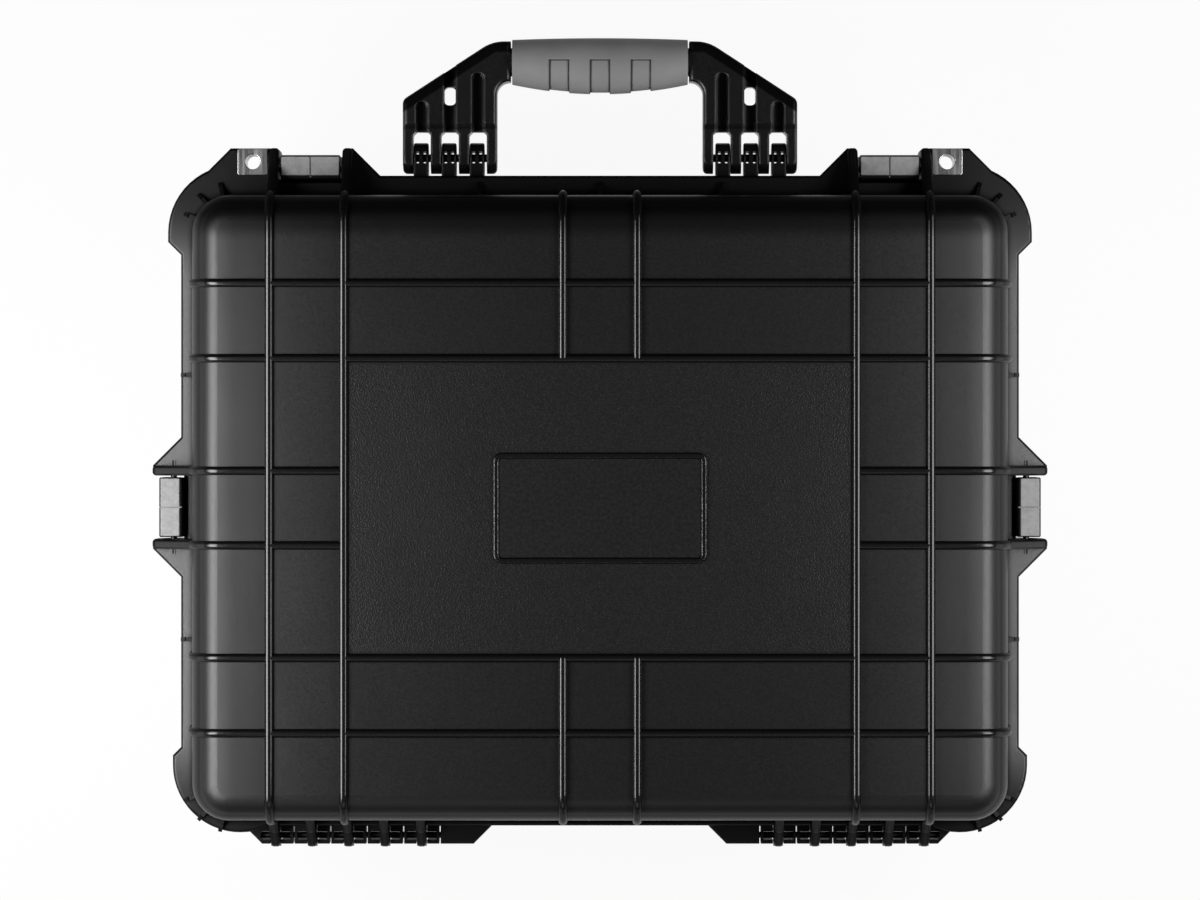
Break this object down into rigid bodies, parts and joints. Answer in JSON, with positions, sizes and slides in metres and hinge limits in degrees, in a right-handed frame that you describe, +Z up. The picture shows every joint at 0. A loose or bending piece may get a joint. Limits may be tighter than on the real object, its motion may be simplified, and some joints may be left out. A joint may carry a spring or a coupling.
{
  "type": "hard case",
  "caption": "Rugged black hard case with a ribbed hinged lid, two-throw latches, padlock eyes, a folding handle with a soft grip, a seal and foam inside.",
  "frame": {"origin": "middle of the whole object's box, handle out, on the plane that its feet stand on", "axes": "+X along the case's width, -Y towards the handle, +Y towards the hinges, +Z up through the lid"},
  "size_m": [0.562, 0.5109, 0.218],
  "materials": {
    "shell_plastic": "fine moulded grain",
    "latch_plastic": "satin moulded",
    "handle_plastic": "satin moulded",
    "valve_plastic": "satin moulded",
    "plate_plastic": "smooth satin",
    "grip_rubber": "matte overmould",
    "gasket_rubber": "matte",
    "stainless": "brushed",
    "pin_steel": "drawn",
    "foam": "open-cell foam"
  },
  "bodies": {
    "base": {"base_shell": "shell_plastic", "base_padlock_plates": "stainless", "hinge_pin_left": "pin_steel", "hinge_pin_right": "pin_steel", "handle_pin_left": "pin_steel", "handle_pin_right": "pin_steel", "valve_body": "valve_plastic", "valve_seal": "gasket_rubber", "valve_nut": "valve_plastic", "base_foam_pad": "foam", "base_foam_block": "foam"},
    "lid": {"lid_shell": "shell_plastic", "lid_gasket": "gasket_rubber", "name_plate": "plate_plastic", "lid_padlock_plates": "stainless", "lid_foam": "foam", "front_left_latch_pin": "pin_steel", "front_right_latch_pin": "pin_steel", "side_left_latch_pin": "pin_steel", "side_right_latch_pin": "pin_steel"},
    "handle": {"handle_frame": "handle_plastic", "handle_grip": "grip_rubber"},
    "front_left_arm": {"front_left_latch_arm": "latch_plastic", "front_left_lever_pin": "pin_steel"},
    "front_left_lever": {"front_left_latch_lever": "latch_plastic"},
    "front_right_arm": {"front_right_latch_arm": "latch_plastic", "front_right_lever_pin": "pin_steel"},
    "front_right_lever": {"front_right_latch_lever": "latch_plastic"},
    "side_left_arm": {"side_left_latch_arm": "latch_plastic", "side_left_lever_pin": "pin_steel"},
    "side_left_lever": {"side_left_latch_lever": "latch_plastic"},
    "side_right_arm": {"side_right_latch_arm": "latch_plastic", "side_right_lever_pin": "pin_steel"},
    "side_right_lever": {"side_right_latch_lever": "latch_plastic"}
  },
  "joints": [
    {"name": "lid_hinge", "type": "hinge", "parent": "base", "child": "lid", "pos_m": [0, 0.24845, 0.15], "axis": [-1, 0, 0], "range_deg": [0, 105]},
    {"name": "handle_fold", "type": "hinge", "parent": "base", "child": "handle", "pos_m": [0, -0.17945, 0.144], "axis": [1, 0, 0], "range_deg": [0, 90]},
    {"name": "front_left_latch_swing", "type": "hinge", "parent": "lid", "child": "front_left_arm", "pos_m": [-0.1815, -0.17085, 0.168], "axis": [-1, 0, 0], "range_deg": [0, 100]},
    {"name": "front_left_lever_throw", "type": "hinge", "parent": "front_left_arm", "child": "front_left_lever", "pos_m": [-0.1815, -0.17235, 0.146], "axis": [-1, 0, 0], "range_deg": [0, 70]},
    {"name": "front_right_latch_swing", "type": "hinge", "parent": "lid", "child": "front_right_arm", "pos_m": [0.1815, -0.17085, 0.168], "axis": [-1, 0, 0], "range_deg": [0, 100]},
    {"name": "front_right_lever_throw", "type": "hinge", "parent": "front_right_arm", "child": "front_right_lever", "pos_m": [0.1815, -0.17235, 0.146], "axis": [-1, 0, 0], "range_deg": [0, 70]},
    {"name": "side_left_latch_swing", "type": "hinge", "parent": "lid", "child": "side_left_arm", "pos_m": [-0.2675, 0.04115, 0.168], "axis": [0, 1, 0], "range_deg": [0, 100]},
    {"name": "side_left_lever_throw", "type": "hinge", "parent": "side_left_arm", "child": "side_left_lever", "pos_m": [-0.269, 0.04115, 0.146], "axis": [0, 1, 0], "range_deg": [0, 70]},
    {"name": "side_right_latch_swing", "type": "hinge", "parent": "lid", "child": "side_right_arm", "pos_m": [0.2675, 0.04115, 0.168], "axis": [0, -1, 0], "range_deg": [0, 100]},
    {"name": "side_right_lever_throw", "type": "hinge", "parent": "side_right_arm", "child": "side_right_lever", "pos_m": [0.269, 0.04115, 0.146], "axis": [0, -1, 0], "range_deg": [0, 70]}
  ]
}
